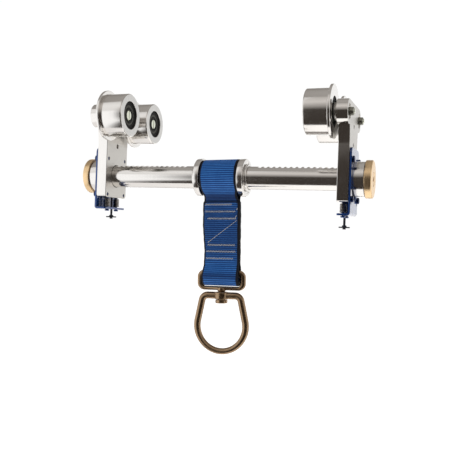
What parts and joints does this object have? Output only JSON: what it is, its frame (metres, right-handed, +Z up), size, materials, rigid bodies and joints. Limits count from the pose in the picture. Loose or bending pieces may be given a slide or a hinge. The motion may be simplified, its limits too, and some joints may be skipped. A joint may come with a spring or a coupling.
{
  "type": "beam trolley anchor",
  "caption": "Adjustable beam trolley anchor: a notched bar with two sliding wheel carriages, sprung latch plates and a webbing sling with a swivel ring.",
  "frame": {"origin": "midway between the carriages, at the height where the wheel treads rest on the beam flange", "axes": "+X along the bar towards the right carriage, +Y across the bar, +Z up"},
  "size_m": [0.3328, 0.121, 0.2913],
  "materials": {
    "polished_steel": "turned and polished steel, clear plated",
    "satin_metal": "milled and fine satin brushed",
    "gold_cap": "yellow passivated, smooth",
    "bronze": "forged steel with dark yellow zinc plating",
    "zinc": "pale zinc plated, slotted",
    "dark_steel": "black oxide",
    "seal": "moulded bearing shield",
    "latch_blue": "glossy blue coating",
    "webbing": "ribbed polyester webbing with black edges and light stitching"
  },
  "bodies": {
    "bar": {"bar": "polished_steel", "end_cap_left": "gold_cap", "end_cap_right": "gold_cap", "cap_screw_left": "gold_cap", "cap_screw_right": "gold_cap", "retaining_collar_left": "polished_steel", "retaining_collar_right": "polished_steel"},
    "sling": {"spool_sleeve": "polished_steel", "spool_flange_left": "polished_steel", "spool_flange_right": "polished_steel", "strap": "webbing"},
    "eye": {"swivel_eye": "bronze", "swivel_head": "bronze"},
    "ring": {"swivel_ring": "bronze"},
    "carriage_left": {"bracket_left": "satin_metal", "guide_bush_left": "polished_steel", "axle_left_front": "zinc", "axle_nut_left_front": "dark_steel", "spacer_left_front": "satin_metal", "latch_spring_left_front": "dark_steel", "axle_left_rear": "zinc", "axle_nut_left_rear": "dark_steel", "spacer_left_rear": "satin_metal", "latch_spring_left_rear": "dark_steel", "guide_screw_left_front_upper": "dark_steel", "guide_screw_left_front_lower": "dark_steel", "guide_screw_left_rear_upper": "dark_steel", "guide_screw_left_rear_lower": "dark_steel"},
    "wheel_left_front": {"wheel_left_front": "polished_steel", "bearing_left_front": "seal"},
    "wheel_left_rear": {"wheel_left_rear": "polished_steel", "bearing_left_rear": "seal"},
    "latch_left": {"latch_plate_left": "latch_blue", "guide_pin_left_front": "latch_blue", "guide_pin_left_rear": "latch_blue"},
    "plunger_left": {"plunger_pin_left": "dark_steel", "plunger_knob_left": "dark_steel"},
    "carriage_right": {"bracket_right": "satin_metal", "guide_bush_right": "polished_steel", "axle_right_front": "zinc", "axle_nut_right_front": "dark_steel", "spacer_right_front": "satin_metal", "latch_spring_right_front": "dark_steel", "axle_right_rear": "zinc", "axle_nut_right_rear": "dark_steel", "spacer_right_rear": "satin_metal", "latch_spring_right_rear": "dark_steel", "guide_screw_right_front_upper": "dark_steel", "guide_screw_right_front_lower": "dark_steel", "guide_screw_right_rear_upper": "dark_steel", "guide_screw_right_rear_lower": "dark_steel"},
    "wheel_right_front": {"wheel_right_front": "polished_steel", "bearing_right_front": "seal"},
    "wheel_right_rear": {"wheel_right_rear": "polished_steel", "bearing_right_rear": "seal"},
    "latch_right": {"latch_plate_right": "latch_blue", "guide_pin_right_front": "latch_blue", "guide_pin_right_rear": "latch_blue"},
    "plunger_right": {"plunger_pin_right": "dark_steel", "plunger_knob_right": "dark_steel"}
  },
  "joints": [
    {"name": "sling_swing", "type": "hinge", "parent": "bar", "child": "sling", "pos_m": [0, 0, -0.042], "axis": [1, 0, 0], "range_deg": [-80, 80]},
    {"name": "eye_tilt", "type": "hinge", "parent": "sling", "child": "eye", "pos_m": [0.00296, 0, -0.14796], "axis": [0.9996, 0, 0.0279], "range_deg": [-75, 75]},
    {"name": "ring_swivel", "type": "hinge", "parent": "eye", "child": "ring", "pos_m": [0.00367, 0, -0.17335], "axis": [-0.0279, 0, 0.9996], "continuous": true},
    {"name": "carriage_slide_left", "type": "slide", "parent": "bar", "child": "carriage_left", "axis": [1, 0, 0], "range_m": [0, 0.0889]},
    {"name": "wheel_spin_left_front", "type": "hinge", "parent": "carriage_left", "child": "wheel_left_front", "pos_m": [-0.1148, -0.0327, 0.024], "axis": [1, 0, 0], "continuous": true},
    {"name": "wheel_spin_left_rear", "type": "hinge", "parent": "carriage_left", "child": "wheel_left_rear", "pos_m": [-0.1148, 0.0327, 0.024], "axis": [1, 0, 0], "continuous": true},
    {"name": "latch_lift_left", "type": "slide", "parent": "carriage_left", "child": "latch_left", "axis": [0, 0, 1], "range_m": [0, 0.004], "stiffness_N_per_m": 1500, "springref_m": -0.003, "deforming": ["latch_spring_left_front", "latch_spring_left_rear"]},
    {"name": "plunger_pull_left", "type": "slide", "parent": "latch_left", "child": "plunger_left", "axis": [0, 0, -1], "range_m": [0, 0.0072]},
    {"name": "carriage_slide_right", "type": "slide", "parent": "bar", "child": "carriage_right", "axis": [-1, 0, 0], "range_m": [0, 0.0889]},
    {"name": "wheel_spin_right_front", "type": "hinge", "parent": "carriage_right", "child": "wheel_right_front", "pos_m": [0.1148, -0.0327, 0.024], "axis": [1, 0, 0], "continuous": true},
    {"name": "wheel_spin_right_rear", "type": "hinge", "parent": "carriage_right", "child": "wheel_right_rear", "pos_m": [0.1148, 0.0327, 0.024], "axis": [1, 0, 0], "continuous": true},
    {"name": "latch_lift_right", "type": "slide", "parent": "carriage_right", "child": "latch_right", "axis": [0, 0, 1], "range_m": [0, 0.004], "stiffness_N_per_m": 1500, "springref_m": -0.003, "deforming": ["latch_spring_right_front", "latch_spring_right_rear"]},
    {"name": "plunger_pull_right", "type": "slide", "parent": "latch_right", "child": "plunger_right", "axis": [0, 0, -1], "range_m": [0, 0.004]}
  ]
}
